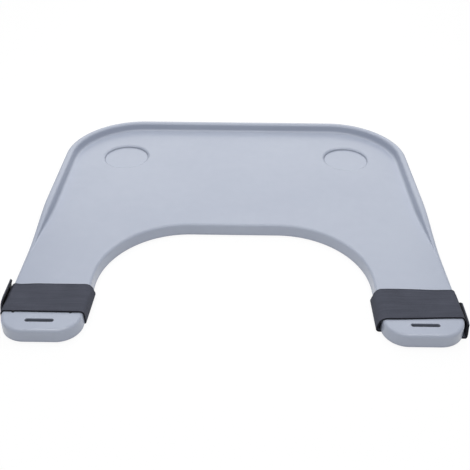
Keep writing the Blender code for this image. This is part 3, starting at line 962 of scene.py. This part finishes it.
pin_pitch = (0.0015, 0.0012)
loop_pile, shader, position = new_material(
    "loop_pile", Roughness=0.95, Specular_IOR_Level=0.15, Sheen_Weight=0.4
)
along, across, flat = cut_place(position)
curls = flat.noise(1500.0, detail=4.0)
tufts = flat.noise(420.0, detail=2.0)
tint = (curls * 0.6 + tufts * 0.4).clamped(0.3, 0.7).blend((0.030, 0.032, 0.045, 1), (0.080, 0.084, 0.108, 1))
feed(shader, "Base Color", tint)
feed(shader, "Normal", curls.bump(0.9, 0.0005))
hook_nylon, shader, position = new_material("hook_nylon", Roughness=0.5, Specular_IOR_Level=0.35)
along, across, flat = cut_place(position)
rows = (along * (2 * math.pi / pin_pitch[0])).sine()
columns = (across * (2 * math.pi / pin_pitch[1])).sine()
pins = (rows * columns).clamped(0.1, 0.8)
feed(shader, "Base Color", pins.blend((0.010, 0.010, 0.013, 1), (0.034, 0.035, 0.043, 1)))
feed(shader, "Normal", pins.bump(0.8, 0.0006))
for strap in straps.values():
    strap["loops"][0].data.materials.append(loop_pile)
    strap["hooks"][0].data.materials.append(hook_nylon)


# The tapes are sewn on with black nylon thread, round their edges, and a short bar of the same thread binds
# the left strap's front edge at two places. One stitch is shaped, and copied along every seam.
stitch_length = 0.0022
stitch_gap = 0.0009
thread_radius = 0.00026
loop_seam_inset = 0.0015
end_seam_inset = 0.003
shortest_seam = 0.001
rise_step = 0.0003
deselect_all()
bpy.ops.mesh.primitive_uv_sphere_add(segments=8, ring_count=6, radius=thread_radius, location=(0, 0, 0))
stitch = bpy.context.object
stitch.name = "stitch"
start_edit()
for way in (-1, 1):
    choose("VERT", lambda corner: corner.co.x * way > thread_radius * 0.3)
    bpy.ops.transform.translate(value=(way * (stitch_length / 2 - thread_radius), 0, -thread_radius))
bpy.ops.object.mode_set(mode="OBJECT")
bpy.ops.object.shade_smooth()
thread, shader, position = new_material("sewing_thread", Roughness=0.55, Specular_IOR_Level=0.4)
twist = position.noise(3500.0, detail=1.0, stretch=(1.0, 3.0, 1.0))
feed(shader, "Base Color", twist.clamped(0.35, 0.65).blend((0.010, 0.010, 0.013, 1), (0.030, 0.031, 0.038, 1)))
feed(shader, "Normal", twist.bump(0.5, 0.0002))
stitch.data.materials.append(thread)


def stitch_at(name, place, along, out, stretch=(1, 1, 1)):
    """A copy of the stitch at a place, lying along one direction with its crown facing another."""
    made = duplicate_of(stitch, name)
    side = out.cross(along).normalized()
    turn = Matrix((along.normalized(), side, along.cross(side).normalized())).transposed().to_4x4()
    made.matrix_world = Matrix.Translation(place) @ turn @ Matrix.Diagonal((*stretch, 1))
    return made


def sewn(name, way, lines, lift, path, hug):
    """A seam through (distance along, share of the width) points of a strip, on its outer face."""
    run = run_of(lines)
    stitches = []
    for (first, first_share), (last, last_share) in zip(path, path[1:]):
        leg = math.hypot(last - first, (last_share - first_share) * strap_width)
        count = max(1, round(leg / (stitch_length + stitch_gap)))
        for i in range(count):
            spots = []
            for part in (i + 0.3, i + 0.5, i + 0.7):
                length = first + (last - first) * part / count
                share = first_share + (last_share - first_share) * part / count
                spots.append(on_strip(way, lines, run, length, share, hug))
            before, place, after = spots
            side = on_strip(way, lines, run, length, share + 0.01, hug) - after
            rise = on_strip(way, lines, run, length + rise_step, share, hug) - after
            out = rise.cross(side).normalized() * -way
            stitches.append(stitch_at(name, place + out * lift, after - before, out))
    seam = joined(stitches)
    bpy.ops.object.transform_apply(location=True, rotation=True, scale=True)
    seam.name = name
    return seam


for word, strap in straps.items():
    way = strap["way"]
    loops, lines, length = strap["loops"]
    low, high = loop_seam_inset, length - loop_seam_inset
    path = [(low, 0.05), (low, 0.95), (high, 0.95), (high, 0.05), (low, 0.05)]
    loop_seam = sewn(word + "_loop_seam", way, lines, loop_thickness / 2, path, 1)
    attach(loop_seam, word + "_strap")

    end, lines, _ = strap["end"]
    run = run_of(lines)
    low, high = run[upright + hook_skip] + end_seam_inset, run[-1]
    path = [(low, 0.12), (low, 0.94)]
    for share in (0.94, 0.88, 0.6, 0.34, 0.24, 0.12):
        cut_at = run[upright] + (high - run[upright]) * ramp(share, strap["cut"])
        path.append((max(cut_at - end_seam_inset, low + shortest_seam), share))
    path.append(path[0])
    end_seam = sewn(word + "_end_seam", way, lines, webbing_thickness / 2, path, strap_hug)
    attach(end_seam, word + "_end")
    strap["seams"] = (loop_seam, end_seam)

# A bar is three threads laid along the edge, as (offset in y, height, length), and five wound over them.
bar_places = ((-0.2936, -0.2535), (-0.2164, -0.2536))
bar_threads = ((-0.0002, 0.0219, 1.7), (-0.0009, 0.0217, 1.5), (-0.0003, 0.0226, 1.3))
wound_pitch = 0.0006
wound_in = 0.0004
wound_z = 0.0228
bars = []
for x, y in bar_places:
    for aside, z, size in bar_threads:
        place = Vector((x, y + aside, z))
        out = Vector((0, -0.7, 0.7))
        bars.append(stitch_at("left_thread_bars", place, Vector((1, 0, 0)), out, (size, 1.8, 1.8)))
    for step in (-2, -1, 0, 1, 2):
        place = Vector((x + step * wound_pitch, y + wound_in, wound_z))
        turn = Vector((0.1 * step, 0.8, 0.6))
        bars.append(stitch_at("left_thread_bars", place, turn, Vector((0, -0.6, 0.8)), (1.1, 1.4, 1.4)))
bars = joined(bars)
bpy.ops.object.transform_apply(location=True, rotation=True, scale=True)
bars.name = "left_thread_bars"
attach(bars, "left_strap")
bpy.data.objects.remove(stitch, do_unlink=True)

# Each length of webbing and tape was cut flat, to these sizes. The cut leaves a share of the free end's
# upright part, and of the hook tape on it, which is their mean over the width.
share_steps = 50
shares = [i / share_steps for i in range(share_steps + 1)]
for word, strap in straps.items():
    band, _, band_length = strap["band"]
    end, end_lines, end_length = strap["end"]
    loops, _, loop_length = strap["loops"]
    hooks, _, hook_length = strap["hooks"]
    loop_seam, end_seam = strap["seams"]
    end_left = sum(ramp(share, strap["cut"]) for share in shares) / len(shares)
    end_run = run_of(end_lines)
    end_area = strap_width * (end_length - (end_run[-1] - end_run[upright]) * (1 - end_left))
    hook_left = sum(hook_cut(strap, share) for share in shares) / len(shares)
    on_band = [loop_seam, bars] if word == "left" else [loop_seam]
    hook_area = strap_width * hook_length * hook_left


# The floor is a white sheet. Only a small share of what the camera sees of it is its own diffuse light, so
# the object's shadow is as faint on it as in the photograph.
bpy.ops.mesh.primitive_plane_add(size=40, location=(0, 0, 0))
floor = bpy.context.object
floor.name = "floor"
sheet, shader, position = new_material("floor_white")
tree = sheet.node_tree
tree.nodes.remove(shader)
light_path = tree.nodes.new("ShaderNodeLightPath")
seen = Signal(light_path.outputs["Is Camera Ray"])
seen = seen.math("MAXIMUM", seen, Signal(light_path.outputs["Is Glossy Ray"]))
seen = seen.math("MAXIMUM", seen, Signal(light_path.outputs["Is Transmission Ray"]))
plain = seen.node("ShaderNodeBsdfDiffuse", {}, {"Color": (0.93, 0.93, 0.93, 1)})
faint = seen.node("ShaderNodeBsdfDiffuse", {}, {"Color": (0.12, 0.12, 0.12, 1)})
glow = seen.node("ShaderNodeEmission", {}, {"Color": (1, 1, 1, 1), "Strength": 0.90})
bright = seen.node("ShaderNodeAddShader", {}, {0: faint, 1: glow})
shown = seen.node("ShaderNodeMixShader", {}, {0: seen, 1: plain, 2: bright})
tree.links.new(shown.socket, tree.nodes["Material Output"].inputs["Surface"])
floor.data.materials.append(sheet)

# A pale room lights it from all round, a soft box stands behind it and three hang over it, two of them small
# and to the sides.
world = bpy.data.worlds.new("room")
world.use_nodes = True
bpy.context.scene.world = world
room = world.node_tree.nodes["Background"]
room.inputs["Color"].default_value = (0.97, 0.98, 1.0, 1)
room.inputs["Strength"].default_value = 0.2
light_path = world.node_tree.nodes.new("ShaderNodeLightPath")
white = world.node_tree.nodes.new("ShaderNodeBackground")
white.inputs["Color"].default_value = (1, 1, 1, 1)
seen = Signal(light_path.outputs["Is Camera Ray"])
shown = seen.node("ShaderNodeMixShader", {}, {0: seen, 1: Signal(room.outputs[0]), 2: Signal(white.outputs[0])})
world.node_tree.links.new(shown.socket, world.node_tree.nodes["World Output"].inputs["Surface"])


def soft_box(name, place, size, power):
    """A square lamp that faces the middle of the tray."""
    lamp = bpy.data.lights.new(name, "AREA")
    lamp.size = size
    lamp.energy = power
    made = bpy.data.objects.new(name, lamp)
    bpy.context.scene.collection.objects.link(made)
    made.location = place
    made.rotation_mode = "QUATERNION"
    made.rotation_quaternion = (-Vector(place)).to_track_quat("-Z", "Y")


soft_box("soft_box_back", (0.0, 1.8, 1.3), 2.0, 16)
soft_box("soft_box_overhead", (0.0, -0.6, 2.1), 1.8, 22.5)
soft_box("soft_box_left", (-0.68, 0.35, 1.6), 0.3, 3.5)
soft_box("soft_box_right", (0.70, 0.38, 1.6), 0.3, 3)
